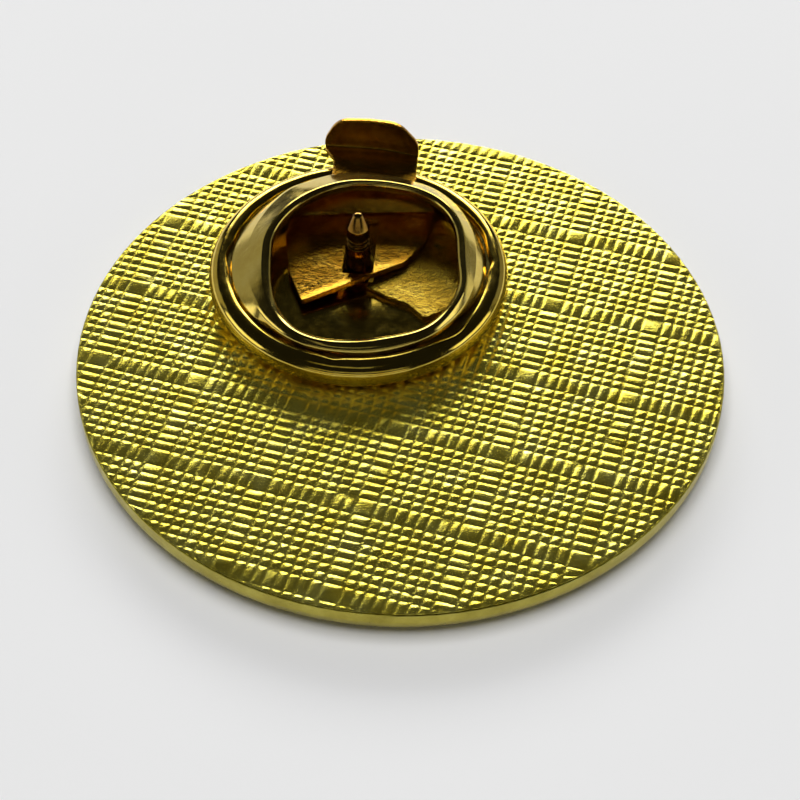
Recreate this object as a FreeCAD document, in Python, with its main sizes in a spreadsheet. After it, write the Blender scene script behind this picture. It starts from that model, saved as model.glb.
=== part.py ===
"""Round die-struck enamel pin with one soldered post and a butterfly clutch.

The pin lies face down: the enamel front looks down (-Z), its textured back looks up (+Z).
The origin is the centre of the disc on the plane of the front face.
Heights called "above the back" are measured from the plane of the back, one disc thickness up.
"""
import FreeCAD, Part
import math
import os

import Sketcher

SIZES = {
    # the struck disc
    "disc_radius": 12.5,
    "disc_thickness": 1.2,
    "front_edge_round": 0.75,
    "back_edge_round": 0.06,
    # the enamel cells in the front
    "cell_depth": 0.35,
    "cutter_start": -0.1,
    "enamel_drop": 0.03,
    "ring_outer_radius": 11.2,
    "ring_inner_radius": 9.6,
    "field_outer_radius": 9.1,
    "field_inner_radius": 3.3,
    "centre_radius": 2.8,
    "petal_middle": 6.2,
    "petal_arc_radius": 3.86,
    "petal_arc_offset": 2.76,
    "petal_wall": 0.35,
    # the post and the solder that holds it
    "post_x": -1.7,
    "post_y": 3.72,
    "post_radius": 0.5,
    "post_height": 3.8,
    "point_height": 0.7,
    "point_radius": 0.12,
    "foot_radius": 1.2,
    "foot_height": 0.25,
    "solder_width": 0.4,
    "groove_radius": 0.4,
    "groove_width": 0.14,
    "lower_groove": 2.25,
    "upper_groove": 2.5,
    # the clutch's dish with its rolled rim
    "gauge": 0.2,
    "rim_radius": 5.93,
    "rim_bottom": 0.06,
    "rim_top": 1.3,
    "rim_lip_radius": 5.22,
    "rim_foot_radius": 5.0,
    "rim_outer_round": 0.45,
    "rim_inner_round": 0.25,
    "floor_bottom": 0.45,
    "floor_radius": 4.7,
    "guide_hole_radius": 0.6,
    # the clutch's cap
    "flange_radius": 5.5,
    "flange_bottom": 0.88,
    "flange_top": 1.06,
    "cap_base_radius": 5.05,
    "shoulder_height": 1.72,
    "shoulder_x": 0.1,
    "shoulder_y": 0.0,
    "shoulder_half_width": 4.62,
    "shoulder_half_length": 4.78,
    "shoulder_tilt": 4.0,
    "opening_height": 2.05,
    "opening_x": 0.39,
    "opening_y": -0.55,
    "opening_half_width": 3.7,
    "opening_half_length": 3.93,
    "opening_tilt": 8.0,
    "slot_half_width": 2.15,
    "slot_shift": 0.35,
    "slot_bottom": 1.33,
    "slot_top": 1.64,
    # the spring strips
    "wing_turn": -4.0,
    "plate_reach": 3.1,
    "plate_bottom": 0.93,
    "neck_bottom": 1.38,
    "ramp_start": 3.0,
    "ramp_end": 3.7,
    "ramp_shift": 0.08,
    "wing_root": 6.3,
    "wing_lean": 0.35,
    "wing_top": 2.9,
    "wing_half_width": 1.93,
    "wing_corner_round": 1.2,
    "bend_outer_round": 0.4,
    "bend_inner_round": 0.2,
    "window_half_width": 0.6,
    "window_near": -0.56,
    "window_far": 2.5,
    "counter_bottom": 0.68,
    "counter_notch_radius": 0.56,
}

PETALS = 8
PETAL_STEP = 360.0 / PETALS

# Plan outlines about the post's axis, X then Y.
WING_PLATE = [(-2.9, 2.75), (-3.05, 1.3), (-2.7, -0.65), (-2.0, -2.25), (1.8, 0.15), (2.6, 1.5), (2.8, 3.4)]
COUNTER_JAW = [(0.28, -0.98), (1.27, -1.63), (1.97, -1.94), (2.63, -2.69), (3.9, -1.9), (5.2, -0.9),
               (5.2, 0.9), (4.1, 1.4), (3.3, 2.5), (-2.5, 2.5), (-2.5, 0.45), (-0.3, 0.45)]

doc = FreeCAD.newDocument("EnamelPin")


def make_sheet():
    """The driving dimensions, one named cell each."""
    sheet = doc.addObject("Spreadsheet::Sheet", "Sizes")
    for row, (name, value) in enumerate(SIZES.items(), start=1):
        sheet.set(f"A{row}", name)
        sheet.set(f"B{row}", str(value))
        sheet.setAlias(f"B{row}", name)
    doc.recompute()


def value_of(formula):
    """The number that a sum such as "disc_thickness + rim_top" comes to now."""
    total = 0.0
    sign = 1.0
    for word in formula.split():
        if word in "+-":
            sign = 1.0 if word == "+" else -1.0
        else:
            total += sign * (SIZES[word] if word in SIZES else float(word))
            sign = 1.0
    return total


def bound(formula):
    """The same sum, written with the sheet's cells."""
    words = [f"Sizes.{word}" if word in SIZES else word for word in formula.split()]
    return " ".join(words)


def bind(thing, **formulas):
    """Bind properties to the sheet. A double underscore in a name stands for a dot."""
    for name, formula in formulas.items():
        thing.setExpression(name.replace("__", "."), bound(formula))


def place(thing, x="0", y="0", z="0"):
    bind(thing, Placement__Base__x=x, Placement__Base__y=y, Placement__Base__z=z)


def at_post(thing):
    """Stand a piece on the post's axis, on the plane of the back."""
    place(thing, "post_x", "post_y", "disc_thickness")


# ---------------------------------------------------------------- Part primitives and booleans

def cylinder(name, radius, bottom, height, x="0", y="0"):
    thing = doc.addObject("Part::Cylinder", name)
    bind(thing, Radius=radius, Height=height)
    place(thing, x, y, bottom)
    return thing


def cut(name, base, tool):
    thing = doc.addObject("Part::Cut", name)
    thing.Base = base
    thing.Tool = tool
    return thing


def common(name, base, tool):
    thing = doc.addObject("Part::Common", name)
    thing.Base = base
    thing.Tool = tool
    return thing


def fuse(name, pieces):
    thing = doc.addObject("Part::MultiFuse", name)
    thing.Shapes = pieces
    return thing


def turn(thing, degrees):
    """Turn a piece about the disc's centre."""
    thing.Placement = FreeCAD.Placement(FreeCAD.Vector(), FreeCAD.Rotation(FreeCAD.Vector(0, 0, 1), degrees))


# ---------------------------------------------------------------- bodies and sketches

def new_body(name):
    return doc.addObject("PartDesign::Body", name)


def new_sketch(body, name, plane):
    sketch = body.newObject("Sketcher::SketchObject", name)
    features = body.Origin.OriginFeatures
    sketch.AttachmentSupport = [(next(f for f in features if f.Role == plane), "")]
    sketch.MapMode = "FlatFace"
    return sketch


def draw_outline(sketch, corners):
    """A closed outline of straight lines, with every corner bound to the sheet."""
    first = sketch.GeometryCount
    points = [FreeCAD.Vector(value_of(x), value_of(y), 0) for x, y in corners]
    count = len(points)
    for index in range(count):
        sketch.addGeometry(Part.LineSegment(points[index], points[(index + 1) % count]))
    for index in range(count):
        after = first + (index + 1) % count
        sketch.addConstraint(Sketcher.Constraint("Coincident", first + index, 2, after, 1))
    for index, (x, y) in enumerate(corners, start=first):
        for kind, formula, axis in (("DistanceX", x, -2), ("DistanceY", y, -1)):
            if abs(value_of(formula)) < 1e-9:
                sketch.addConstraint(Sketcher.Constraint("PointOnObject", index, 1, axis))
                continue
            number = sketch.addConstraint(Sketcher.Constraint(kind, -1, 1, index, 1, value_of(formula)))
            sketch.setExpression(f"Constraints[{number}]", bound(formula))


def outline_of(points):
    """Plain plan points as the text that draw_outline takes."""
    return [(str(x), str(y)) for x, y in points]


def revolve(body, name, sketch):
    thing = body.newObject("PartDesign::Revolution", name)
    thing.Profile = sketch
    thing.ReferenceAxis = (sketch, ["V_Axis"])
    thing.Angle = 360.0
    sketch.Visibility = False
    return thing


def round_edges(body, name, base, edges, radius):
    doc.recompute()
    thing = body.newObject("PartDesign::Fillet", name)
    thing.Base = (base, edges(base.Shape))
    bind(thing, Radius=radius)
    doc.recompute()
    return thing


def ring_edges(places):
    """Pick the round edges that stand at the given (radius, height) places."""
    wanted = [(value_of(radius), value_of(height)) for radius, height in places]

    def pick(shape):
        names = []
        for number, edge in enumerate(shape.Edges, start=1):
            if not isinstance(edge.Curve, Part.Circle):
                continue
            found = (edge.Curve.Radius, edge.Curve.Center.z)
            if any(math.dist(found, place_) < 1e-4 for place_ in wanted):
                names.append(f"Edge{number}")
        return names
    return pick


def long_edges(direction, test):
    """Pick the straight edges along a direction whose middle passes a test."""
    def pick(shape):
        names = []
        for number, edge in enumerate(shape.Edges, start=1):
            if not isinstance(edge.Curve, Part.Line):
                continue
            along = abs(edge.tangentAt(edge.FirstParameter).dot(direction))
            if along > 0.999 and test(edge.CenterOfMass):
                names.append(f"Edge{number}")
        return names
    return pick


def at_height_and_reach(reach, height):
    """A test for an edge whose middle is this far along Y and this high."""
    wanted = (value_of(reach), value_of(height))
    return lambda middle: math.dist((middle.y, middle.z), wanted) < 1e-3


# ---------------------------------------------------------------- enamel and the struck disc

def ring_cell(name, bottom, height):
    outer = cylinder(f"{name}_outer", "ring_outer_radius", bottom, height)
    inner = cylinder(f"{name}_inner", "ring_inner_radius", bottom, height)
    return cut(name, outer, inner)


def centre_cell(name, bottom, height):
    return cylinder(name, "centre_radius", bottom, height)


def lens(name, radius, bottom, height):
    """A pointed petal: what two equal round arcs have in common."""
    left = cylinder(f"{name}_left", radius, bottom, height, "petal_middle", "petal_arc_offset")
    right = cylinder(f"{name}_right", radius, bottom, height, "petal_middle", "0 - petal_arc_offset")
    return common(name, left, right)


def petal_cell(name, bottom, height, index):
    petal = lens(name, "petal_arc_radius", bottom, height)
    turn(petal, index * PETAL_STEP)
    return petal


def field_cell(name, bottom, height, index):
    """The ground between one petal's wall and the next."""
    outer = cylinder(f"{name}_outer", "field_outer_radius", bottom, height)
    outer.Angle = PETAL_STEP
    inner = cylinder(f"{name}_inner", "field_inner_radius", bottom, height)
    first = lens(f"{name}_first_wall", "petal_arc_radius + petal_wall", bottom, height)
    second = lens(f"{name}_second_wall", "petal_arc_radius + petal_wall", bottom, height)
    turn(second, PETAL_STEP)
    ground = cut(name, outer, fuse(f"{name}_walls", [inner, first, second]))
    turn(ground, index * PETAL_STEP)
    return ground


def all_cells(prefix, bottom, height):
    cells = [ring_cell(f"{prefix}_ring", bottom, height), centre_cell(f"{prefix}_centre", bottom, height)]
    for index in range(PETALS):
        cells.append(petal_cell(f"{prefix}_petal_{index + 1}", bottom, height, index))
        cells.append(field_cell(f"{prefix}_field_{index + 1}", bottom, height, index))
    return cells


def make_badge_base():
    body = new_body("disc_blank")
    sketch = new_sketch(body, "disc_profile", "XZ_Plane")
    draw_outline(sketch, [("0", "0"), ("disc_radius", "0"), ("disc_radius", "disc_thickness"),
                          ("0", "disc_thickness")])
    blank = revolve(body, "disc_turned", sketch)
    front_edge = ring_edges([("disc_radius", "0")])
    rounded = round_edges(body, "front_rounded", blank, front_edge, "front_edge_round")
    back_edge = ring_edges([("disc_radius", "disc_thickness")])
    round_edges(body, "back_rounded", rounded, back_edge, "back_edge_round")
    recesses = doc.addObject("Part::Compound", "recesses")
    recesses.Links = all_cells("recess", "cutter_start", "cell_depth - cutter_start")
    return cut("badge_base", body, recesses)


def make_post():
    """Needle with a flat foot, two snap grooves and a blunt point."""
    body = new_body("post")
    sketch = new_sketch(body, "post_profile", "XZ_Plane")
    corners = [("0", "0"), ("foot_radius", "0"), ("foot_radius", "foot_height")]
    corners.append(("post_radius", "foot_height"))
    for groove in ("lower_groove", "upper_groove"):
        corners.append(("post_radius", groove))
        corners.append(("groove_radius", groove))
        corners.append(("groove_radius", f"{groove} + groove_width"))
        corners.append(("post_radius", f"{groove} + groove_width"))
    corners.append(("post_radius", "post_height - point_height"))
    corners.append(("point_radius", "post_height"))
    corners.append(("0", "post_height"))
    draw_outline(sketch, corners)
    revolve(body, "post_turned", sketch)
    at_post(body)
    return body


def make_solder():
    """The sloping ring of solder round the post's foot."""
    slope = doc.addObject("Part::Cone", "solder_slope")
    bind(slope, Radius1="foot_radius + solder_width", Radius2="foot_radius + 0.05", Height="foot_height")
    ring = cut("post_solder", slope, cylinder("solder_bore", "foot_radius", "0", "foot_height"))
    at_post(ring)
    return ring


# ---------------------------------------------------------------- the clutch

def make_clutch_dish():
    """Sheet dish: flat floor with the guide hole, and a rim rolled up and in over the cap's flange."""
    body = new_body("clutch_dish")
    sketch = new_sketch(body, "dish_profile", "XZ_Plane")
    draw_outline(sketch, [
        ("guide_hole_radius", "floor_bottom"),
        ("floor_radius", "floor_bottom"),
        ("rim_foot_radius", "rim_bottom"),
        ("rim_radius", "rim_bottom"),
        ("rim_radius", "rim_top"),
        ("rim_lip_radius", "rim_top"),
        ("rim_lip_radius", "rim_top - gauge"),
        ("rim_radius - gauge", "rim_top - gauge"),
        ("rim_radius - gauge", "rim_bottom + gauge"),
        ("rim_foot_radius + 0.12", "rim_bottom + gauge"),
        ("floor_radius + 0.12", "floor_bottom + gauge"),
        ("guide_hole_radius", "floor_bottom + gauge"),
    ])
    sheet = revolve(body, "dish_turned", sketch)
    outside = ring_edges([("rim_radius", "rim_bottom"), ("rim_radius", "rim_top")])
    rolled = round_edges(body, "rim_rolled", sheet, outside, "rim_outer_round")
    inside = ring_edges([("rim_radius - gauge", "rim_bottom + gauge"),
                         ("rim_radius - gauge", "rim_top - gauge")])
    round_edges(body, "rim_rolled_inside", rolled, inside, "rim_inner_round")
    at_post(body)
    return body


def ellipse(name, x, y, z, half_width, half_length, tilt):
    """An oval that is half_length long toward the far side, which the tilt lifts."""
    oval = doc.addObject("Part::Ellipse", name)
    bind(oval, MajorRadius=half_length, MinorRadius=half_width)
    lift = FreeCAD.Rotation(FreeCAD.Vector(1, 0, 0), value_of(tilt))
    oval.Placement.Rotation = lift * FreeCAD.Rotation(FreeCAD.Vector(0, 0, 1), 90)
    place(oval, x, y, z)
    return oval


def round_outline(name, radius, z):
    """The round outline at the cap's foot, started at the same side as the ovals."""
    ring = doc.addObject("Part::Circle", name)
    bind(ring, Radius=radius)
    ring.Placement.Rotation = FreeCAD.Rotation(FreeCAD.Vector(0, 0, 1), 90)
    place(ring, "0", "0", z)
    return ring


def dome(name, grow, overrun):
    """The cap's round wall as a solid, grown outward by the sheet's gauge for the outside."""
    foot = round_outline(f"{name}_foot", f"cap_base_radius - gauge + {grow}", f"flange_bottom - {overrun}")
    shoulder = ellipse(f"{name}_shoulder", "shoulder_x", "shoulder_y", "shoulder_height",
                       f"shoulder_half_width - gauge + {grow}", f"shoulder_half_length - gauge + {grow}",
                       "shoulder_tilt")
    opening = ellipse(f"{name}_opening", "opening_x", "opening_y", f"opening_height + {overrun}",
                      f"opening_half_width + {grow}", f"opening_half_length + {grow}", "opening_tilt")
    loft = doc.addObject("Part::Loft", name)
    loft.Sections = [foot, shoulder, opening]
    loft.Solid = True
    loft.Ruled = True
    return loft


def make_clutch_cap():
    """Flanged cap, open on top through a large tilted oval, with a slot for the wing strip."""
    flange = cylinder("flange_disc", "flange_radius", "flange_bottom", "flange_top - flange_bottom")
    outside = fuse("cap_outside", [dome("dome_outside", "gauge", "0"), flange])
    shell = cut("cap_shell", outside, dome("dome_inside", "0", "0.02"))
    slot = doc.addObject("Part::Box", "wing_slot")
    bind(slot, Length="slot_half_width + slot_half_width", Width="rim_radius - ramp_start",
         Height="slot_top - slot_bottom")
    place(slot, "slot_shift - slot_half_width", "ramp_start", "slot_bottom")
    cap = cut("clutch_cap", shell, slot)
    at_post(cap)
    return cap


def make_wing_jaw():
    """One spring strip: a gripping plate inside the cap, a neck through the slot, and the wing."""
    body = new_body("bent_blank")
    side = new_sketch(body, "wing_side", "YZ_Plane")
    near_end = "0 - plate_reach"
    draw_outline(side, [
        (near_end, "plate_bottom"),
        ("ramp_start", "plate_bottom"),
        ("ramp_end", "neck_bottom"),
        ("wing_root + gauge", "neck_bottom"),
        ("wing_root + gauge + wing_lean", "wing_top"),
        ("wing_root + wing_lean", "wing_top"),
        ("wing_root", "neck_bottom + gauge"),
        ("ramp_end - ramp_shift", "neck_bottom + gauge"),
        ("ramp_start - ramp_shift", "plate_bottom + gauge"),
        (near_end, "plate_bottom + gauge"),
    ])
    strip = body.newObject("PartDesign::Pad", "bent_strip")
    strip.Profile = side
    strip.Midplane = True
    bind(strip, Length="plate_reach + plate_reach")
    doc.recompute()
    plan = new_sketch(body, "strip_offcuts", "XY_Plane")
    low, high, far = "0 - plate_reach - 1", "plate_reach + 1", "wing_root + plate_reach"
    draw_outline(plan, [(low, low), (high, low), (high, far), (low, far)])
    neck = [("wing_half_width", "ramp_end"), ("wing_half_width", "wing_root + 2"),
            ("0 - wing_half_width", "wing_root + 2"), ("0 - wing_half_width", "ramp_end")]
    draw_outline(plan, outline_of(WING_PLATE) + neck)
    draw_outline(plan, [("0 - window_half_width", "window_near"), ("window_half_width", "window_near"),
                        ("window_half_width", "window_far"), ("0 - window_half_width", "window_far")])
    offcuts = body.newObject("PartDesign::Pocket", "strip_trimmed")
    offcuts.Profile = plan
    offcuts.Type = "ThroughAll"
    offcuts.Midplane = True
    across = FreeCAD.Vector(1, 0, 0)
    outer_bend = long_edges(across, at_height_and_reach("wing_root + gauge", "neck_bottom"))
    bent = round_edges(body, "bend_outside", offcuts, outer_bend, "bend_outer_round")
    inner_bend = long_edges(across, at_height_and_reach("wing_root", "neck_bottom + gauge"))
    round_edges(body, "bend_inside", bent, inner_bend, "bend_inner_round")
    corners = fuse("wing_corners", [wing_corner("left", "0 - wing_half_width", "0 - wing_half_width - 1"),
                                    wing_corner("right", "wing_half_width", "wing_half_width")])
    wing = cut("wing_jaw", body, corners)
    wing.Placement.Rotation = FreeCAD.Rotation(FreeCAD.Vector(0, 0, 1), value_of("wing_turn"))
    at_post(wing)
    return wing


def wing_corner(side, edge, outside):
    """The offcut that leaves one top corner of the wing round."""
    inward = "+" if side == "left" else "-"
    middle = f"{edge} {inward} wing_corner_round"
    block = doc.addObject("Part::Box", f"{side}_corner_block")
    bind(block, Length="wing_corner_round + 1", Width="wing_root", Height="wing_corner_round + 1")
    place(block, outside if side == "left" else middle, "wing_root - 1", "wing_top - wing_corner_round")
    arc = doc.addObject("Part::Cylinder", f"{side}_corner_arc")
    bind(arc, Radius="wing_corner_round", Height="wing_root + 1")
    arc.Placement.Rotation = FreeCAD.Rotation(FreeCAD.Vector(1, 0, 0), -90)
    place(arc, middle, "wing_root - 1.5", "wing_top - wing_corner_round")
    return cut(f"{side}_corner", block, arc)


def make_counter_jaw():
    """The other gripping plate: a flat strip with a round notch, caught under the cap's flange."""
    body = new_body("counter_jaw")
    plan = new_sketch(body, "counter_outline", "XY_Plane")
    draw_outline(plan, outline_of(COUNTER_JAW))
    plate = body.newObject("PartDesign::Pad", "counter_plate")
    plate.Profile = plan
    bind(plate, Length="gauge")
    doc.recompute()
    hole = new_sketch(body, "counter_notch", "XY_Plane")
    hole.addGeometry(Part.Circle(FreeCAD.Vector(), FreeCAD.Vector(0, 0, 1), value_of("counter_notch_radius")))
    hole.addConstraint(Sketcher.Constraint("Coincident", 0, 3, -1, 1))
    size = hole.addConstraint(Sketcher.Constraint("Radius", 0, value_of("counter_notch_radius")))
    hole.setExpression(f"Constraints[{size}]", bound("counter_notch_radius"))
    notch = body.newObject("PartDesign::Pocket", "counter_notched")
    notch.Profile = hole
    notch.Type = "ThroughAll"
    notch.Midplane = True
    doc.recompute()
    if notch.Shape.Volume > plate.Shape.Volume - 0.01:
        raise RuntimeError("the notch cut nothing")
    place(body, "post_x", "post_y", "disc_thickness + counter_bottom")
    return body


def check_and_export(nodes):
    """Stop on any failed object or bad shape, then write one file per piece."""
    doc.recompute()
    for thing in doc.Objects:
        if "Invalid" in thing.State or "Error" in thing.State:
            raise RuntimeError(f"{thing.Name} failed: {thing.State}")
    os.makedirs("parts", exist_ok=True)
    for name, thing in nodes.items():
        shape = thing.Shape
        if shape.isNull() or not shape.isValid() or not shape.Solids:
            raise RuntimeError(f"{name} has no valid solid")
        thing.Label = name
        shape.exportStep(f"parts/{name}.step")
        print(f"{name}: {shape.Volume:.3f} mm3")


def build():
    make_sheet()
    nodes = {"badge_base": make_badge_base()}
    enamel = all_cells("enamel", "enamel_drop", "cell_depth - enamel_drop")
    nodes.update((cell.Name, cell) for cell in enamel)
    nodes["post"] = make_post()
    nodes["post_solder"] = make_solder()
    nodes["clutch_dish"] = make_clutch_dish()
    nodes["clutch_cap"] = make_clutch_cap()
    nodes["counter_jaw"] = make_counter_jaw()
    nodes["wing_jaw"] = make_wing_jaw()
    check_and_export(nodes)


build()
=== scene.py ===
import math
import random

import bpy
import bmesh
from mathutils import Matrix, Vector
from mathutils.geometry import delaunay_2d_cdt


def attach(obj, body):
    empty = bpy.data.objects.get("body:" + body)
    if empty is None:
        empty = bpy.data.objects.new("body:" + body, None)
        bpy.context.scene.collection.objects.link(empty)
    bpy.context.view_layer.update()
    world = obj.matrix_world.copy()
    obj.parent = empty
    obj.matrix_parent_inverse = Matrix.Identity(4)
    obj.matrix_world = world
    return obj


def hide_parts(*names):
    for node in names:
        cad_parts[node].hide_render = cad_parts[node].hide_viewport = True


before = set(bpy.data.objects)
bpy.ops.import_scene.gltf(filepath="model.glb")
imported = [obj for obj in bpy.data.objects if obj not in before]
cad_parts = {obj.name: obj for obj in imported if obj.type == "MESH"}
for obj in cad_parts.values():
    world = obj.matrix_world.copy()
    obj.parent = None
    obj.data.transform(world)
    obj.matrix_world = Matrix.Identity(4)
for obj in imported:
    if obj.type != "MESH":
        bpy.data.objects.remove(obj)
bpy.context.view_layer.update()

MM = 0.001

# Sizes are in millimetres, as in the CAD. Heights on the post and the clutch are above the back.
DISC_RADIUS = 12.5
BACK = 1.2
POST = (-1.7, 3.72)
GAUGE = 0.2
# The step over which a surface's slope is measured.
SLOPE_STEP = 0.02

random.seed(11)


# ---------------------------------------------------------------- mesh helpers

def millimetres(points):
    return [Vector(p) * MM for p in points]


def add_object(name, mesh, material, body, slot, *replaced):
    """Put a finished mesh in the scene as a piece of the pin."""
    piece = bpy.data.objects.new(name, mesh)
    bpy.context.scene.collection.objects.link(piece)
    mesh.materials.clear()
    mesh.materials.append(material)
    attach(piece, body)
    if replaced:
        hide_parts(*replaced)
    return piece


def new_mesh(name, points, faces):
    mesh = bpy.data.meshes.new(name)
    mesh.from_pydata(millimetres(points), [], faces)
    mesh.validate()
    finish_normals(mesh)
    return mesh


def finish_normals(mesh, crease=40):
    edit = bmesh.new()
    edit.from_mesh(mesh)
    bmesh.ops.recalc_face_normals(edit, faces=edit.faces)
    edit.to_mesh(mesh)
    edit.free()
    for face in mesh.polygons:
        face.use_smooth = True
    mesh.set_sharp_from_angle(angle=math.radians(crease))


def at_post(points):
    """Move points measured from the post's foot into the shared frame."""
    return [(x + POST[0], y + POST[1], z + BACK) for x, y, z in points]


def rounded_line(corners, steps=6):
    """A polyline with arcs at its inner corners. Each corner is (a, b, radius)."""
    line = [Vector(corners[0][:2])]
    for before, here, after in zip(corners, corners[1:], corners[2:]):
        point, radius = Vector(here[:2]), here[2]
        back = Vector(before[:2]) - point
        ahead = Vector(after[:2]) - point
        half = back.angle(ahead) / 2
        reach = min(radius / math.tan(half), 0.48 * back.length, 0.48 * ahead.length)
        start = point + back.normalized() * reach
        end = point + ahead.normalized() * reach
        for step in range(steps + 1):
            t = step / steps
            line.append(start * (1 - t) ** 2 + point * 2 * t * (1 - t) + end * t ** 2)
    line.append(Vector(corners[-1][:2]))
    return line


def split_runs(line, parts=2):
    """Split every run into equal parts, so that all the sections of a loft match."""
    out = [line[0]]
    for a, b in zip(line, line[1:]):
        out += [a.lerp(b, k / parts) for k in range(1, parts + 1)]
    return out


def subdivide_line(line, longest):
    """Add points on the long runs, so that a lofted surface shades evenly."""
    out = [line[0]]
    for a, b in zip(line, line[1:]):
        parts = max(1, math.ceil((b - a).length / longest))
        out += [a.lerp(b, k / parts) for k in range(1, parts + 1)]
    return out


def sheet_section(line):
    """The closed outline of a sheet whose middle follows a line, with round edges."""
    half, cap_steps = GAUGE / 2, 5
    left, right = [], []
    for k, point in enumerate(line):
        ahead = line[min(k + 1, len(line) - 1)] - line[max(k - 1, 0)]
        side = Vector((-ahead.y, ahead.x)).normalized() * half
        left.append(point + side)
        right.append(point - side)

    def end_cap(centre, start):
        arm = start - centre
        turn = [Matrix.Rotation(-math.pi * k / cap_steps, 2) for k in range(1, cap_steps)]
        return [centre + m @ arm for m in turn]
    return left + end_cap(line[-1], left[-1]) + right[::-1] + end_cap(line[0], right[0])


def loft_rings(name, sections):
    """Join closed (radius, height) outlines, one for each direction about the post, into a solid."""
    count, size = len(sections), len(sections[0])
    points = []
    for k, section in enumerate(sections):
        angle = 2 * math.pi * k / count
        points += [(r * math.cos(angle), r * math.sin(angle), z) for r, z in section]
    faces = []
    for k in range(count):
        for j in range(size):
            a, b = k * size + j, k * size + (j + 1) % size
            c, d = (k + 1) % count * size + (j + 1) % size, (k + 1) % count * size + j
            faces.append((a, b, c, d))
    return new_mesh(name, at_post(points), faces)


def lathe(name, profile, segments, wobble=None):
    """Turn an open (radius, height) profile, which starts and ends on the axis, about the post."""
    points = [(0, 0, profile[0][1]), (0, 0, profile[-1][1])]
    inner = profile[1:-1]
    for k in range(segments):
        angle = 2 * math.pi * k / segments
        for r, z in inner:
            if wobble:
                r, z = wobble(angle, r, z)
            points.append((r * math.cos(angle), r * math.sin(angle), z))
    faces, size = [], len(inner)
    for k in range(segments):
        a, b = 2 + k * size, 2 + (k + 1) % segments * size
        faces.append((0, b, a))
        faces += [(a + j, b + j, b + j + 1, a + j + 1) for j in range(size - 1)]
        faces.append((1, a + size - 1, b + size - 1))
    return new_mesh(name, at_post(points), faces)


def around(table, angle):
    """A smooth value round the post from a table of (degrees, value), in rising degrees."""
    degrees = math.degrees(angle) % 360
    count = len(table)
    after = next((k for k, row in enumerate(table) if row[0] > degrees), 0)
    rows = [table[(after + k) % count] for k in (-2, -1, 0, 1)]
    span = (rows[2][0] - rows[1][0]) % 360
    t = ((degrees - rows[1][0]) % 360) / span
    p = [row[1] for row in rows]
    before = (rows[1][0] - rows[0][0]) % 360
    beyond = (rows[3][0] - rows[2][0]) % 360
    m1 = (p[2] - p[0]) * span / (before + span)
    m2 = (p[3] - p[1]) * span / (span + beyond)
    return (p[1] * (2 * t ** 3 - 3 * t ** 2 + 1) + m1 * (t ** 3 - 2 * t ** 2 + t)
            + p[2] * (3 * t ** 2 - 2 * t ** 3) + m2 * (t ** 3 - t ** 2))


def bump_sum(bumps, angle):
    """Round dents or swellings, each (degrees, size, half width in degrees)."""
    total = 0
    for place, size, width in bumps:
        off = (math.degrees(angle) - place + 180) % 360 - 180
        total += size * math.exp(-(off / width) ** 2)
    return total


def rounded_outline(corners, steps=6):
    """A closed outline with arcs at its corners. Each corner is (x, y, radius)."""
    looped = [corners[-1]] + corners + [corners[0]]
    return rounded_line(looped, steps)[1:-1]


def surface_at(height, x, y):
    """The height of the surface height(x, y), and the direction it faces."""
    here = height(x, y)
    slope_x = (height(x + SLOPE_STEP, y) - here) / SLOPE_STEP
    slope_y = (height(x, y + SLOPE_STEP) - here) / SLOPE_STEP
    return here, Vector((-slope_x, -slope_y, 1))


SHEET_BEVEL = 0.055
SHARP_CORNER = math.radians(60)


def flat_triangles(outline, holes, spacing):
    """Points and triangles that fill a plan outline, without its holes."""
    loops = [subdivide_line(loop + [loop[0]], spacing)[:-1] for loop in [outline] + holes]
    border, edges = [], []
    for loop in loops:
        first = len(border)
        border += loop
        edges += [(first + k, first + (k + 1) % len(loop)) for k in range(len(loop))]
    low = [min(p[axis] for p in loops[0]) for axis in (0, 1)]
    high = [max(p[axis] for p in loops[0]) for axis in (0, 1)]
    points = list(border)
    for i in range(1, int((high[0] - low[0]) / spacing)):
        for j in range(1, int((high[1] - low[1]) / spacing)):
            inner = Vector((low[0] + i * spacing, low[1] + j * spacing))
            if min((inner - p).length for p in border) > 0.45 * spacing:
                points.append(inner)
    flat, _, triangles, *_ = delaunay_2d_cdt(points, edges, [], 1, 1e-6)
    kept = [t for t in triangles if not any(inside(centre_of(flat, t), hole) for hole in loops[1:])]
    return flat, kept


def sheet_mesh(name, outline, holes, place, spacing):
    """A sheet cut to a plan outline, laid on a bent surface by place(x, y) -> (point, normal)."""
    flat, kept = flat_triangles(outline, holes, spacing)
    upper, lower = [], []
    for x, y in flat:
        point, normal = place(x, y)
        upper.append(point + normal * (GAUGE / 2))
        lower.append(point - normal * (GAUGE / 2))
    count = len(flat)
    faces = [tuple(t) for t in kept] + [tuple(v + count for v in reversed(t)) for t in kept]
    sides = dict.fromkeys((a, b) for t in kept for a, b in zip(t, t[1:] + t[:1]))
    faces += [(b, a, a + count, b + count) for a, b in sides if (b, a) not in sides]
    mesh = bpy.data.meshes.new(name)
    mesh.from_pydata(millimetres(at_post(upper + lower)), [], faces)
    mesh.validate()
    edit = bmesh.new()
    edit.from_mesh(mesh)
    bmesh.ops.delete(edit, geom=[v for v in edit.verts if not v.link_faces], context="VERTS")
    bmesh.ops.recalc_face_normals(edit, faces=edit.faces)
    corners = [e for e in edit.edges if len(e.link_faces) == 2 and e.calc_face_angle(0) > SHARP_CORNER]
    bmesh.ops.bevel(edit, geom=corners, offset=SHEET_BEVEL * MM, segments=3, profile=0.5,
                    affect="EDGES", clamp_overlap=True)
    edit.to_mesh(mesh)
    edit.free()
    finish_normals(mesh, 50)
    return mesh


def centre_of(points, triangle):
    return sum((points[k] for k in triangle), Vector((0, 0))) / len(triangle)


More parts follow.
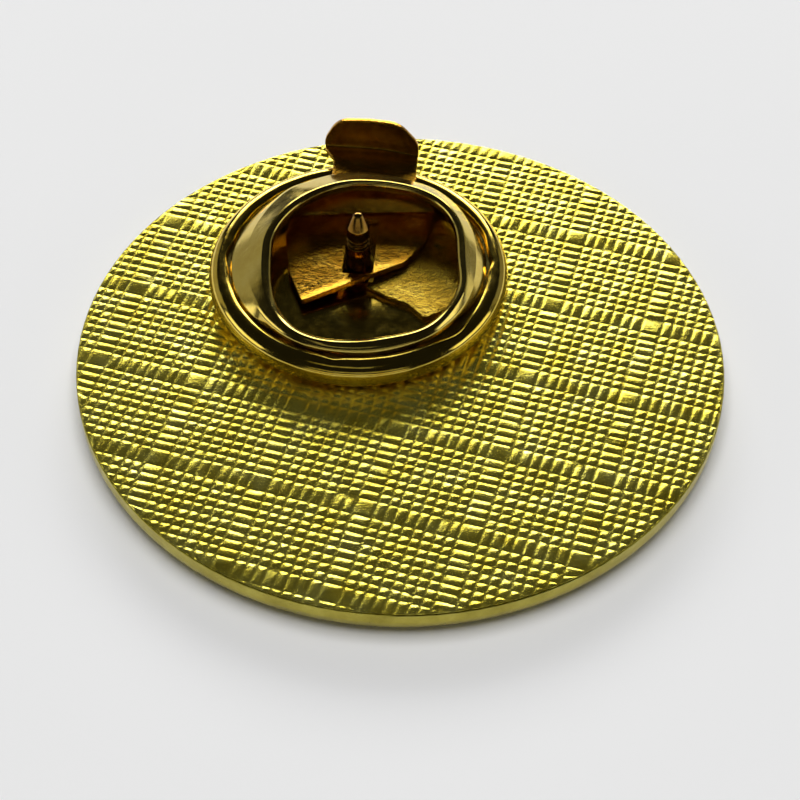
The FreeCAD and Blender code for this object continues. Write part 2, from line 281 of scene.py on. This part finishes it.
def inside(point, loop):
    odd = False
    for a, b in zip(loop, loop[1:] + loop[:1]):
        if (a.y > point.y) != (b.y > point.y):
            if point.x < a.x + (point.y - a.y) / (b.y - a.y) * (b.x - a.x):
                odd = not odd
    return odd


# ---------------------------------------------------------------- materials

def node_material(name):
    material = bpy.data.materials.new(name)
    material.use_nodes = True
    nodes, links = material.node_tree.nodes, material.node_tree.links
    shader = nodes["Principled BSDF"]
    where = nodes.new("ShaderNodeTexCoord")
    scale = nodes.new("ShaderNodeMapping")
    scale.inputs["Scale"].default_value = (1 / MM,) * 3
    links.new(where.outputs["Object"], scale.inputs["Vector"])
    return material, nodes, links, shader, scale.outputs["Vector"]


def noise(nodes, links, vector, scale, detail=4, roughness=0.6, stretch=None):
    """Noise over the object. Stretch is (scale along each axis, turn in degrees)."""
    if stretch:
        pull = nodes.new("ShaderNodeMapping")
        pull.inputs["Scale"].default_value = stretch[0]
        pull.inputs["Rotation"].default_value = (0, 0, math.radians(stretch[1]))
        links.new(vector, pull.inputs["Vector"])
        vector = pull.outputs["Vector"]
    texture = nodes.new("ShaderNodeTexNoise")
    texture.inputs["Scale"].default_value = scale
    texture.inputs["Detail"].default_value = detail
    texture.inputs["Roughness"].default_value = roughness
    links.new(vector, texture.inputs["Vector"])
    return texture.outputs["Fac"]


def ramp(nodes, links, factor, stops):
    colours = nodes.new("ShaderNodeValToRGB")
    while len(colours.color_ramp.elements) < len(stops):
        colours.color_ramp.elements.new(0.5)
    for element, (position, colour) in zip(colours.color_ramp.elements, stops):
        element.position = position
        element.color = (*colour, 1)
    links.new(factor, colours.inputs["Fac"])
    return colours.outputs["Color"]


def spread(nodes, links, factor, low, high):
    """A noise, which mostly runs from 0.3 to 0.7, stretched to run between two values."""
    mapped = nodes.new("ShaderNodeMapRange")
    for key, value in (("From Min", 0.3), ("From Max", 0.7), ("To Min", low), ("To Max", high)):
        mapped.inputs[key].default_value = value
    links.new(factor, mapped.inputs["Value"])
    return mapped.outputs["Result"]


def add_bump(nodes, links, height, distance, strength, base=None):
    """Bumps of a distance in millimetres, on top of the normal in base."""
    bump = nodes.new("ShaderNodeBump")
    bump.inputs["Distance"].default_value = distance * MM
    bump.inputs["Strength"].default_value = strength
    links.new(height, bump.inputs["Height"])
    if base:
        links.new(base, bump.inputs["Normal"])
    return bump.outputs["Normal"]


def plated_metal(name, tones, rough, grain, wave, scratch_angle=20, metallic=1.0, peel=0.0):
    """Plated metal: toned colour, uneven polish, fine scratches and a slight hand-pressed wave.

    Tones run from dark to light, and rough is the range of the polish. The depths of grain, wave
    and peel are in millimetres, and the scratches' angle is in degrees.
    """
    material, nodes, links, shader, vector = node_material(name)
    shader.inputs["Metallic"].default_value = metallic
    tone = noise(nodes, links, vector, scale=0.9, detail=5, roughness=0.65)
    links.new(ramp(nodes, links, tone, list(zip((0.3, 0.5, 0.7), tones))), shader.inputs["Base Color"])
    smear = noise(nodes, links, vector, scale=2.6, detail=6, roughness=0.7)
    links.new(spread(nodes, links, smear, *rough), shader.inputs["Roughness"])
    swell = noise(nodes, links, vector, scale=0.8, detail=2, roughness=0.4)
    normal = add_bump(nodes, links, swell, wave, 1.0)
    lines = noise(nodes, links, vector, scale=3.0, detail=5, roughness=0.7,
                  stretch=((0.25, 7.0, 1.0), scratch_angle))
    normal = add_bump(nodes, links, lines, grain, 0.6, normal)
    pits = noise(nodes, links, vector, scale=22.0, detail=3, roughness=0.6)
    normal = add_bump(nodes, links, pits, grain * 0.35, 0.6, normal)
    if peel:
        dimples = noise(nodes, links, vector, scale=5.0, detail=4, roughness=0.7)
        normal = add_bump(nodes, links, dimples, peel, 1.0, normal)
    links.new(normal, shader.inputs["Normal"])
    return material


def enamel(name, tones):
    """Polished hard enamel: clear coat, faint clouding, uneven polish and a faint ripple."""
    material, nodes, links, shader, vector = node_material(name)
    cloud = noise(nodes, links, vector, 1.2, 4, 0.6)
    links.new(ramp(nodes, links, cloud, [(0.35, tones[0]), (0.65, tones[1])]), shader.inputs["Base Color"])
    shader.inputs["Coat Weight"].default_value = 0.8
    shader.inputs["Coat Roughness"].default_value = 0.04
    smear = noise(nodes, links, vector, 4.0, 4)
    links.new(spread(nodes, links, smear, 0.12, 0.28), shader.inputs["Roughness"])
    peel = noise(nodes, links, vector, 3.0, 2, 0.4)
    links.new(add_bump(nodes, links, peel, 0.008, 0.6), shader.inputs["Normal"])
    return material


STRUCK = plated_metal(
    "struck_brass", [(0.80, 0.62, 0.04), (0.89, 0.76, 0.09), (0.94, 0.85, 0.18)],
    rough=(0.15, 0.27), grain=0.008, wave=0.01, metallic=0.93, peel=0.012)
# Painted shade: these are the disc's own brass tones, darkened well below the struck back's to stand in for
# the dim light on the disc's side.
EDGE_PAINTED_DARKER = plated_metal(
    "edge_brass", [(0.36, 0.30, 0.04), (0.46, 0.39, 0.06), (0.56, 0.49, 0.09)],
    rough=(0.24, 0.42), grain=0.006, wave=0.02)
CLUTCH = plated_metal(
    "clutch_brass", [(0.72, 0.48, 0.05), (0.80, 0.57, 0.08), (0.84, 0.64, 0.13)],
    rough=(0.07, 0.17), grain=0.0016, wave=0.025)
CAP = plated_metal(
    "cap_brass", [(0.68, 0.49, 0.09), (0.76, 0.57, 0.12), (0.80, 0.62, 0.16)],
    rough=(0.12, 0.20), grain=0.0012, wave=0.02)
SPRING = plated_metal(
    "spring_brass", [(0.48, 0.22, 0.012), (0.60, 0.31, 0.02), (0.74, 0.45, 0.05)],
    rough=(0.10, 0.22), grain=0.005, wave=0.02, scratch_angle=80, peel=0.024)
COUNTER = plated_metal(
    "counter_brass", [(0.40, 0.24, 0.015), (0.54, 0.35, 0.03), (0.70, 0.50, 0.07)],
    rough=(0.12, 0.24), grain=0.012, wave=0.03, scratch_angle=60, peel=0.05)
# Painted shade: the post's brass tones are made very dark, standing in for the dark clutch cavity that the
# post reflects.
POST_PAINTED_DARK = plated_metal(
    "post_brass", [(0.19, 0.09, 0.012), (0.26, 0.13, 0.018), (0.42, 0.25, 0.04)],
    rough=(0.08, 0.18), grain=0.004, wave=0.008)
SOLDER = plated_metal(
    "solder", [(0.50, 0.45, 0.28), (0.58, 0.54, 0.36), (0.66, 0.62, 0.46)],
    rough=(0.3, 0.5), grain=0.01, wave=0.03)
ENAMELS = {
    "enamel_ring": enamel("ring_enamel", ((0.02, 0.06, 0.22), (0.04, 0.11, 0.34))),
    "enamel_centre": enamel("centre_enamel", ((0.78, 0.48, 0.04), (0.90, 0.62, 0.10))),
    "enamel_petal": enamel("petal_enamel", ((0.46, 0.02, 0.03), (0.62, 0.05, 0.06))),
    "enamel_field": enamel("field_enamel", ((0.80, 0.76, 0.64), (0.88, 0.85, 0.76))),
}

# Of the CAD nodes, the fills of the front are enamel and the rest are brass.
for node_name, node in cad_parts.items():
    finish = next((m for key, m in ENAMELS.items() if node_name.startswith(key)), EDGE_PAINTED_DARKER)
    node.data.materials.clear()
    node.data.materials.append(finish)


# ---------------------------------------------------------------- the struck back

RELIEF_TURN = math.radians(-16.5)
# Cells lie in groups of nine, in which the first is two pitches wide and the others are one.
RELIEF_PITCH = 0.40
CELLS_IN_GROUP = 9
GROUP_STEP = (CELLS_IN_GROUP + 1) * RELIEF_PITCH
GROUPS_BEFORE = 4
# The middle of one wide column and one wide row, from the middle of the disc.
WIDE_COLUMN, WIDE_ROW = 1.0, 0.2
RELIEF_EDGE = DISC_RADIUS - 0.045
RELIEF_SPAN = DISC_RADIUS + 0.5
# Grid points up to this far past the edge are pulled in to it.
PULLED_IN = 0.85
GROOVE_FLOOR = 0.004
RELIEF_RISE = 0.05
LOWEST, HIGHEST = 0.002, 0.056
EDGE_FADE = 0.12
SKIRT_DEPTH = 0.03
# Random spreads: a line's place, a pad's height as a share, its lean, and the roughness of its top.
LINE_SPREAD, LEVEL_SPREAD, LEAN_SPREAD, ROUGH_SPREAD = 0.012, 0.12, 0.07, 0.003
# The top's roughness doubles towards the near side, over this stretch.
ROUGHER_FROM, ROUGHER_OVER = 3, 6
# Across one cell: (distance from the cell's start, height there as a share of the rise).
ROWS_IN_CELL = ((0.00, 0.0), (0.09, 0.0), (0.20, 0.60), (0.36, 0.95), (0.56, 1.0), (0.76, 0.84),
                (0.90, 0.50))
COLUMNS_IN_CELL = ((0.00, 0.0), (0.12, 0.03), (0.24, 0.68), (0.38, 0.97), (0.62, 0.97), (0.76, 0.68),
                   (0.88, 0.03))


def relief_lines(wide_middle, lines_in_cell):
    """Lines across the disc: (place, height share, cell, distance from the cell's middle)."""
    edges, widths = [wide_middle - GROUPS_BEFORE * GROUP_STEP - RELIEF_PITCH], []
    while edges[-1] < RELIEF_SPAN:
        widths.append(2 if len(widths) % CELLS_IN_GROUP == 0 else 1)
        edges.append(edges[-1] + RELIEF_PITCH * widths[-1])
    edges = [edge + random.gauss(0, LINE_SPREAD) for edge in edges]
    lines = []
    for cell, (start, end) in enumerate(zip(edges, edges[1:])):
        for part, share in lines_in_cell:
            # A wide cell's slopes are as wide as the others', so only its top is wider.
            t = part / widths[cell] if part < 0.5 else 1 - (1 - part) / widths[cell]
            lines.append((start + t * (end - start), share, cell, (t - 0.5) * (end - start)))
    return [line for line in lines if abs(line[0]) < RELIEF_SPAN]


def relief_points():
    """The points of the pads and grooves, and where in the list each grid place is."""
    columns = relief_lines(WIDE_COLUMN, COLUMNS_IN_CELL)
    rows = relief_lines(WIDE_ROW, ROWS_IN_CELL)
    pads, points, index = {}, [], {}
    cos, sin = math.cos(RELIEF_TURN), math.sin(RELIEF_TURN)
    for j, (v, share_v, row, from_row) in enumerate(rows):
        for i, (u, share_u, column, from_column) in enumerate(columns):
            x, y = u * cos - v * sin, u * sin + v * cos
            reach = math.hypot(x, y)
            if reach > RELIEF_EDGE + PULLED_IN:
                continue
            if reach > RELIEF_EDGE:
                x, y = x * RELIEF_EDGE / reach, y * RELIEF_EDGE / reach
            if (column, row) not in pads:
                pads[(column, row)] = (random.gauss(1.0, LEVEL_SPREAD), random.gauss(0, LEAN_SPREAD),
                                       random.gauss(0, LEAN_SPREAD))
            level, lean_u, lean_v = pads[(column, row)]
            share = share_u * share_v
            rise = GROOVE_FLOOR + RELIEF_RISE * level * share
            rise += share * (lean_u * from_column + lean_v * from_row)
            nearness = min(1.0, max(0.0, (-y - ROUGHER_FROM) / ROUGHER_OVER))
            rise += random.gauss(0, ROUGH_SPREAD + ROUGH_SPREAD * nearness)
            rise *= min(1.0, max(0.0, (RELIEF_EDGE - reach) / EDGE_FADE))
            index[(i, j)] = len(points)
            points.append((x, y, BACK + min(HIGHEST, max(LOWEST, rise))))
    return points, index


def back_relief():
    """The cross-hatched back: rounded square pads with struck grooves between them."""
    points, index = relief_points()
    faces = []
    for (i, j), first in index.items():
        others = [index.get((i + 1, j)), index.get((i + 1, j + 1)), index.get((i, j + 1))]
        if None in others:
            continue
        corners = [points[k] for k in [first] + others]
        if all(math.hypot(x, y) > RELIEF_EDGE - 1e-6 for x, y, _ in corners):
            continue
        faces.append((first, *others))
    mesh = bpy.data.meshes.new("back_relief")
    mesh.from_pydata(millimetres(points), [], faces)
    edit = bmesh.new()
    edit.from_mesh(mesh)
    bmesh.ops.delete(edit, geom=[v for v in edit.verts if not v.link_faces], context="VERTS")
    # A skirt reaches down into the disc, and one face closes it.
    border = [e for e in edit.edges if len(e.link_faces) == 1]
    skirt = bmesh.ops.extrude_edge_only(edit, edges=border)["geom"]
    for vertex in (g for g in skirt if isinstance(g, bmesh.types.BMVert)):
        vertex.co.z = (BACK - SKIRT_DEPTH) * MM
    open_edges = [e for e in edit.edges if len(e.link_faces) == 1]
    bmesh.ops.contextual_create(edit, geom=open_edges)
    edit.to_mesh(mesh)
    edit.free()
    mesh.validate()
    finish_normals(mesh, 75)
    return mesh


add_object("back_relief", back_relief(), STRUCK, "pin", "struck_brass")


# ---------------------------------------------------------------- post and solder

FOOT_RADIUS, FOOT_HEIGHT = 1.2, 0.25
SHANK_RADIUS, NECK_RADIUS, GROOVE_RADIUS = 0.5, 0.45, 0.36
SHANK_TOP = 1.9
GROOVE_HEIGHTS = (2.25, 2.5)
TIP_START, TIP_END = 3.12, 3.8
# Outside this radius, the solder's edge wanders.
SOLDER_STEADY = 1.25


def make_post():
    """Foot, shank, snap grooves and pointed tip, as corners of (radius, height, rounding)."""
    grooves = []
    for height in GROOVE_HEIGHTS:
        grooves += [(NECK_RADIUS, height - 0.03, 0.02), (GROOVE_RADIUS, height + 0.02, 0.03),
                    (GROOVE_RADIUS, height + 0.12, 0.03), (NECK_RADIUS, height + 0.17, 0.02)]
    corners = [(0, 0, 0), (FOOT_RADIUS, 0, 0.02), (FOOT_RADIUS, FOOT_HEIGHT, 0.08),
               (SHANK_RADIUS, FOOT_HEIGHT, 0.1), (SHANK_RADIUS, SHANK_TOP, 0.1), *grooves,
               (NECK_RADIUS, TIP_START, 0.16), (0.16, 3.75, 0.08), (0, TIP_END, 0)]
    return lathe("post", rounded_line(corners, 4), 48)


def solder_wobble(angle, r, z):
    if r < SOLDER_STEADY:
        return r, z
    return r + 0.10 * math.sin(2 * angle + 0.6) + 0.05 * math.sin(5 * angle), z


def make_solder():
    """A flat bead round the foot, as corners of (radius, height, rounding)."""
    corners = [(0, 0, 0), (1.58, 0.0, 0.02), (1.50, 0.09, 0.08), (1.26, 0.23, 0.1), (1.0, 0.245, 0.05),
               (0, 0.24, 0)]
    return lathe("post_solder", rounded_line(corners, 5), 72, solder_wobble)


add_object("needle_post", make_post(), POST_PAINTED_DARK, "pin", "post_brass", "post")
add_object("solder_ring", make_solder(), SOLDER, "pin", "solder", "post_solder")


# ---------------------------------------------------------------- the clutch's dish

ROUND_STEPS = 240
# The rolled rim's section is an oval arc that starts under the rim and ends at the lip.
ROLL_MIDDLE, ROLL_LEVEL = 5.37, 0.68
ROLL_WIDE, ROLL_HIGH = 0.46, 0.515
ROLL_START = math.radians(-80)
ROLL_STEPS = 22
FLOOR_HOLE, FLOOR_EDGE = 0.68, 4.75
FLOOR_LEVEL, ROLL_FOOT = 0.55, 0.165
# The lip's distance from the post, and its dents and ripple.
LIP_REACH, LIP_RIPPLE, LIP_RIPPLES = 5.21, 0.012, 23
LIP_DENTS = [(-99, 0.20, 5), (-45, 0.30, 13), (-128, 0.10, 7), (0, 0.14, 4), (22, 0.14, 16),
             (177, 0.12, 7), (100, 0.06, 20)]


def dish_sections():
    """The dish's floor and rolled rim in each direction about the post."""
    floor = rounded_line([(FLOOR_HOLE, FLOOR_LEVEL, 0), (FLOOR_EDGE, FLOOR_LEVEL, 0.2),
                          (5.05, ROLL_FOOT, 0.15), (ROLL_MIDDLE, ROLL_FOOT, 0)], 6)
    sections = []
    for k in range(ROUND_STEPS):
        angle = 2 * math.pi * k / ROUND_STEPS
        lip = LIP_REACH + bump_sum(LIP_DENTS, angle) + LIP_RIPPLE * math.sin(LIP_RIPPLES * angle)
        sweep = math.acos((lip - ROLL_MIDDLE) / ROLL_WIDE) - ROLL_START
        turns = [ROLL_START + sweep * t / ROLL_STEPS for t in range(ROLL_STEPS + 1)]
        roll = [Vector((ROLL_MIDDLE + ROLL_WIDE * math.cos(a), ROLL_LEVEL + ROLL_HIGH * math.sin(a)))
                for a in turns]
        sections.append(sheet_section(split_runs(floor) + roll))
    return sections


add_object("dish_rim", loft_rings("dish_rim", dish_sections()), CLUTCH, "clutch_dish", "clutch_brass",
           "clutch_dish")


# ---------------------------------------------------------------- the clutch's cap

# The opening's reach from the post, and how square its corner is in each quarter turn from the right.
OPENING_RIGHT, OPENING_FAR, OPENING_LEFT, OPENING_NEAR = 3.90, 3.08, 3.43, 4.47
OPENING_SQUARENESS = (2.5, 1.8, 3.0, 2.8)
OPENING_DENTS = [(288, -0.15, 14), (335, 0.15, 12)]
# The lip tilts up to the far side, and stands a little higher at the sides.
LIP_HEIGHT, LIP_TILT, LIP_SADDLE = 2.04, 0.54, 0.10
# How far the wall stands out from the straight line between foot and lip: degrees, bulge.
BULGE = [(0, 0.05), (20, 0.08), (38, 0.16), (50, 0.20), (62, 0.16), (80, 0.20), (92, 0.21), (106, 0.22),
         (120, 0.22), (130, 0.27), (142, 0.18), (158, 0.06), (180, 0.0), (205, 0.04), (235, 0.12),
         (270, 0.12), (305, 0.12), (335, 0.03)]
# How far in from the crest the lip starts to turn down: degrees, width.
CREST = [(0, 0.20), (30, 0.14), (60, 0.11), (90, 0.10), (130, 0.12), (160, 0.18), (195, 0.26), (235, 0.25),
         (270, 0.24), (305, 0.20), (335, 0.20)]
# The wall stands on a flange that lies under the dish's rolled rim.
CAP_FOOT = Vector((4.96, 1.16))
FLANGE_EDGE, FLANGE_LEVEL = 5.32, 0.96
# The crest is a little below the lip's plane. Inside it, the lip turns down.
CREST_DROP, LIP_INSET, LIP_TURN, LIP_END = 0.03, 0.05, 0.12, 0.32


def opening_radius(angle):
    """The opening's reach from the post in one direction."""
    across = math.cos(angle) / (OPENING_RIGHT if math.cos(angle) > 0 else OPENING_LEFT)
    along = math.sin(angle) / (OPENING_FAR if math.sin(angle) > 0 else OPENING_NEAR)
    power = OPENING_SQUARENESS[int(angle / (math.pi / 2)) % 4]
    oval = (abs(across) ** power + abs(along) ** power) ** (-1 / power)
    return oval + bump_sum(OPENING_DENTS, angle)


def cap_sections():
    """The cap's flange, bulging wall and turned-down lip in each direction about the post."""
    sections = []
    for k in range(ROUND_STEPS):
        angle = 2 * math.pi * k / ROUND_STEPS
        edge = opening_radius(angle)
        edge_height = LIP_HEIGHT + LIP_TILT * math.sin(angle) + LIP_SADDLE * math.cos(angle) ** 2
        crest = Vector((edge + around(CREST, angle), edge_height - CREST_DROP))
        slope = crest - CAP_FOOT
        out = Vector((slope.y, -slope.x)).normalized() * around(BULGE, angle)
        shoulder = CAP_FOOT.lerp(crest, 0.5) + out
        lip = edge + LIP_INSET
        middle = rounded_line([
            (FLANGE_EDGE, FLANGE_LEVEL, 0), (CAP_FOOT.x, FLANGE_LEVEL, 0.1), (*CAP_FOOT, 0.1),
            (*shoulder, 0.35), (*crest, 0.1), (lip, edge_height - LIP_TURN, 0.1),
            (lip, edge_height - LIP_END, 0)], 6)
        sections.append(sheet_section(split_runs(middle)))
    return sections


def cut_box(mesh, low, high):
    """Cut a box, given from corner to corner in millimetres from the post, out of a closed mesh."""
    corners = at_post([(x, y, z) for x in (low[0], high[0]) for y in (low[1], high[1])
                       for z in (low[2], high[2])])
    box = new_mesh("cutter", corners, [(0, 1, 3, 2), (4, 6, 7, 5), (0, 4, 5, 1), (2, 3, 7, 6), (0, 2, 6, 4),
                                       (1, 5, 7, 3)])
    objects = [bpy.data.objects.new(name, data) for name, data in (("cut", mesh), ("cutter", box))]
    for item in objects:
        bpy.context.scene.collection.objects.link(item)
    cut = objects[0].modifiers.new("cut", "BOOLEAN")
    cut.object, cut.operation, cut.solver = objects[1], "DIFFERENCE", "EXACT"
    bpy.context.view_layer.update()
    evaluated = objects[0].evaluated_get(bpy.context.evaluated_depsgraph_get())
    finished = bpy.data.meshes.new_from_object(evaluated)
    for item in objects:
        bpy.data.objects.remove(item)
    finish_normals(finished)
    return finished


# The wing's neck leaves the cap through a slot in its far wall.
SLOT_LOW, SLOT_HIGH = (-1.8, 3.0, 1.33), (2.5, 6.2, 1.76)
cap_mesh = cut_box(loft_rings("cap_shell", cap_sections()), SLOT_LOW, SLOT_HIGH)
add_object("cap_shell", cap_mesh, CAP, "clutch_cage", "clutch_brass", "clutch_cap")


# ---------------------------------------------------------------- jaws and wing

WING_SET = Matrix.Rotation(math.radians(-4.0), 3, "Z")
# The strip's middle seen from the side: (distance from the post, height, rounding).
WING_SIDE = [(-3.1, 1.03, 0), (2.55, 1.03, 0.2), (2.72, 1.08, 0.06), (2.9, 1.0, 0.1), (3.65, 1.48, 0.3),
             (6.4, 1.48, 0.22), (6.60, 2.88, 0)]
WING_LINE = rounded_line(WING_SIDE, 8)
# The gripping plate of the flat strip: (x, y, rounding).
WING_PLAN = [(-2.9, 2.75, 0.2), (-3.05, 1.3, 0.3), (-2.7, -0.65, 0.25), (-2.0, -2.25, 0.12),
             (1.8, 0.15, 0.25), (2.6, 1.5, 0.3), (2.8, 3.4, 0.25)]
PLATE_END = 2.2
# The plate curls up along its slanting near edge, given by one corner and the direction inwards.
NEAR_CORNER, NEAR_INWARDS = (-2.0, -2.25), (-0.534, 0.8455)
CURL_RISE, CURL_WIDTH = 0.07, 0.4
# It also has a low hump beside the post, and dips towards its near end.
HUMP_RISE, HUMP_PLACE, HUMP_SIZE = 0.03, (0.5, -0.42), (0.7, 0.35)
DIP_START, DIP_SLOPE = 1.5, 0.018
# The bend beside the neck runs askew across the strip, and so does the wing's own bend on its right.
BEND_SKEW, BEND_PLACE, BEND_REACH = 0.16, 2.8, 1.4
WING_SKEW, WING_SKEW_LEFT, WING_SKEW_START, WING_SKEW_RUN = 0.09, 0.3, 4.4, 1.2
# The neck swells a little before the wing turns up.
SWELL_RISE, SWELL_PLACE, SWELL_WIDTH = 0.07, 5.8, 0.45


def smooth_step(t):
    t = min(1.0, max(0.0, t))
    return t * t * (3 - 2 * t)


def along_strip(y):
    """Where a distance along the flat strip ends up on the bent one, and the sheet's normal there."""
    travel = y - WING_LINE[0].x
    for a, b in zip(WING_LINE, WING_LINE[1:]):
        run = (b - a).length
        if travel <= run or b is WING_LINE[-1]:
            ahead = (b - a).normalized()
            return a + ahead * travel, Vector((-ahead.y, ahead.x))
        travel -= run


def wing_lift(x, y):
    """How far the spring's gripping plate is sprung up from flat."""
    from_edge = NEAR_INWARDS[0] * (x - NEAR_CORNER[0]) + NEAR_INWARDS[1] * (y - NEAR_CORNER[1])
    curl = CURL_RISE * max(0.0, 1 - from_edge / CURL_WIDTH) ** 2
    off_x, off_y = (x - HUMP_PLACE[0]) / HUMP_SIZE[0], (y - HUMP_PLACE[1]) / HUMP_SIZE[1]
    hump = HUMP_RISE * math.exp(-off_x ** 2 - off_y ** 2)
    return curl + hump - DIP_SLOPE * max(0.0, DIP_START - y)


def wing_skew(x, y):
    """How far the bends are shifted along the strip at this place."""
    bend = BEND_SKEW * x * max(0.0, 1 - abs(y - BEND_PLACE) / BEND_REACH)
    past_start = smooth_step((y - WING_SKEW_START) / WING_SKEW_RUN)
    return bend - WING_SKEW * max(0.0, x + WING_SKEW_LEFT) ** 2 * past_start


def place_on_wing(x, y):
    skew = wing_skew(x, y)
    point, normal = along_strip(y - skew)
    point = point + Vector((skew, 0))
    if y < PLATE_END:
        lift, facing = surface_at(wing_lift, x, y)
        return WING_SET @ Vector((x, point.x, point.y + lift)), WING_SET @ facing.normalized()
    off = (y - SWELL_PLACE) / SWELL_WIDTH
    swell = SWELL_RISE * math.exp(-off ** 2)
    slope = -2 * off / SWELL_WIDTH * swell
    normal = (normal + Vector((-slope, 0)) * normal.y).normalized()
    return WING_SET @ Vector((x, point.x, point.y + swell)), WING_SET @ Vector((0, normal.x, normal.y))


def wing_outline():
    """The flat strip: the gripping plate, then the neck, then the rounded wing."""
    length = sum((b - a).length for a, b in zip(WING_LINE, WING_LINE[1:]))
    top = length + WING_SIDE[0][0]
    neck_start = 3.95
    return rounded_outline(WING_PLAN + [
        (1.93, neck_start, 0.2), (1.93, top - 1.1, 0.6), (1.1, top - 0.1, 1.3), (-0.1, top, 1.0),
        (-1.45, top - 0.05, 1.0), (-1.98, top - 1.0, 0.8), (-1.93, top - 1.6, 0.5),
        (-1.5, top - 2.3, 0.5), (-1.5, neck_start, 0.2)])


# The window in the spring's plate that clears the post, and the outline of the counter plate.
WINDOW = [(-0.6, -0.56, 0.08), (0.6, -0.56, 0.08), (0.6, 2.5, 0.08), (-0.6, 2.5, 0.08)]
COUNTER_PLAN = [(0.28, -0.98, 0.05), (1.27, -1.63, 0.1), (1.97, -1.94, 0.15), (2.63, -2.69, 0.15),
                (3.9, -1.9, 0.3), (5.2, -0.9, 0.15), (5.2, 0.9, 0.15), (4.1, 1.4, 0.3), (3.3, 2.5, 0.2),
                (-2.5, 2.5, 0.2), (-2.5, 0.45, 0.15), (-0.62, 0.45, 0.05), (-0.45, 0.62, 0.2),
                (0, 0.72, 0.25), (0.5, 0.5, 0.25), (0.7, 0, 0.25), (0.55, -0.42, 0.2)]
COUNTER_LEVEL, COUNTER_DIP = 0.785, 0.008
RING_PLACE, RING_RADIUS = (3.3, 1.55), 0.26
RING_RISE, RING_WIDTH = 0.09, 0.09


def counter_height(x, y):
    """The flat counter plate: its near side dips a little, and a punched ring stands up."""
    off_ring = math.hypot(x - RING_PLACE[0], y - RING_PLACE[1]) - RING_RADIUS
    ring = RING_RISE * math.exp(-(off_ring / RING_WIDTH) ** 2)
    return COUNTER_LEVEL + COUNTER_DIP * min(0.0, y) + ring


def place_counter(x, y):
    height, facing = surface_at(counter_height, x, y)
    return Vector((x, y, height)), facing.normalized()


wing_mesh = sheet_mesh("wing_strip_plate", wing_outline(), [rounded_outline(WINDOW, 3)], place_on_wing, 0.12)
add_object("wing_strip_plate", wing_mesh, SPRING, "wing_strip", "spring_brass", "wing_jaw")
counter_mesh = sheet_mesh("counter_plate", rounded_outline(COUNTER_PLAN, 4), [], place_counter, 0.09)
add_object("counter_plate", counter_mesh, COUNTER, "clutch_cage", "spring_brass", "counter_jaw")


# ---------------------------------------------------------------- floor, light and camera

# The floor lies just under the pin. It and the panels' sizes are in metres.
FLOOR_GAP = 0.02 * MM
FLOOR_HALF, FLOOR_STEPS = 1.5, 40
PANEL_DISTANCE = 0.60


def make_floor():
    edit = bmesh.new()
    bmesh.ops.create_grid(edit, x_segments=FLOOR_STEPS, y_segments=FLOOR_STEPS, size=FLOOR_HALF)
    mesh = bpy.data.meshes.new("floor")
    edit.to_mesh(mesh)
    edit.free()
    floor = bpy.data.objects.new("floor", mesh)
    bpy.context.scene.collection.objects.link(floor)
    floor.location.z = -FLOOR_GAP
    material, nodes, links, shader, vector = node_material("floor")
    grain = noise(nodes, links, vector, 0.02, 3)
    links.new(ramp(nodes, links, grain, [(0.3, (0.86, 0.86, 0.86)), (0.7, (0.88, 0.88, 0.88))]),
              shader.inputs["Base Color"])
    shader.inputs["Roughness"].default_value = 0.9
    shader.inputs["Specular IOR Level"].default_value = 0.1
    mesh.materials.append(material)


def panel(name, azimuth, elevation, width, height, radiance):
    """A soft light panel aimed at the pin. Azimuth 0 is the far side, 90 the right."""
    a, e = math.radians(azimuth), math.radians(elevation)
    across = math.cos(e)
    place = Vector((math.sin(a) * across, math.cos(a) * across, math.sin(e))) * PANEL_DISTANCE
    data = bpy.data.lights.new(name, "AREA")
    data.shape = "RECTANGLE"
    data.size, data.size_y = width, height
    data.energy = radiance * width * height * math.pi
    light = bpy.data.objects.new(name, data)
    bpy.context.scene.collection.objects.link(light)
    light.location = place
    light.rotation_euler = (-place).to_track_quat("-Z", "Y").to_euler()
    return light


make_floor()
# The metal reflects a dark ceiling, so the wash that lights the floor is hidden from reflections.
wash = panel("floor_wash", 0, 90, 0.50, 0.50, 3.6)
wash.visible_glossy = False
panel("far_window", 0, 21, 0.46, 0.17, 8.0)
panel("far_upper", 0, 33, 0.34, 0.08, 2.2)
panel("far_left", -52, 14, 0.40, 0.28, 0.32)
panel("far_right", 52, 14, 0.40, 0.28, 0.18)
panel("left_window", -95, 15, 0.40, 0.16, 1.4)
panel("right_window", 95, 15, 0.40, 0.16, 1.4)
panel("near_strip", 180, 25, 0.70, 0.05, 0.45)
panel("near_low", 180, 9, 0.80, 0.10, 0.5)
panel("near_top", -165, 64, 0.30, 0.08, 0.3)

world = bpy.data.worlds.new("studio")
bpy.context.scene.world = world
world.use_nodes = True
world.node_tree.nodes["Background"].inputs["Color"].default_value = (0.5, 0.5, 0.5, 1)
world.node_tree.nodes["Background"].inputs["Strength"].default_value = 0.02
bpy.context.scene.view_settings.view_transform = "Standard"

# The camera is where the photo was taken from, worked out from the disc's outline. It is in millimetres.
CAMERA_ELEVATION = math.radians(48.4)
CAMERA_ROLL = math.radians(0.62)
CAMERA_DISTANCE = 78.74
LOOK_AT = Vector((0, -2.48, BACK))

camera_data = bpy.data.cameras.new("camera")
camera_data.sensor_width = 36
camera_data.lens = 93.375
camera_data.clip_start = 0.001
camera = bpy.data.objects.new("camera", camera_data)
bpy.context.scene.collection.objects.link(camera)
back_off = Vector((0, -math.cos(CAMERA_ELEVATION), math.sin(CAMERA_ELEVATION)))
tilt = Matrix.Rotation(math.pi / 2 - CAMERA_ELEVATION, 4, "X") @ Matrix.Rotation(CAMERA_ROLL, 4, "Z")
camera.matrix_world = Matrix.Translation((LOOK_AT + back_off * CAMERA_DISTANCE) * MM) @ tilt
bpy.context.scene.camera = camera
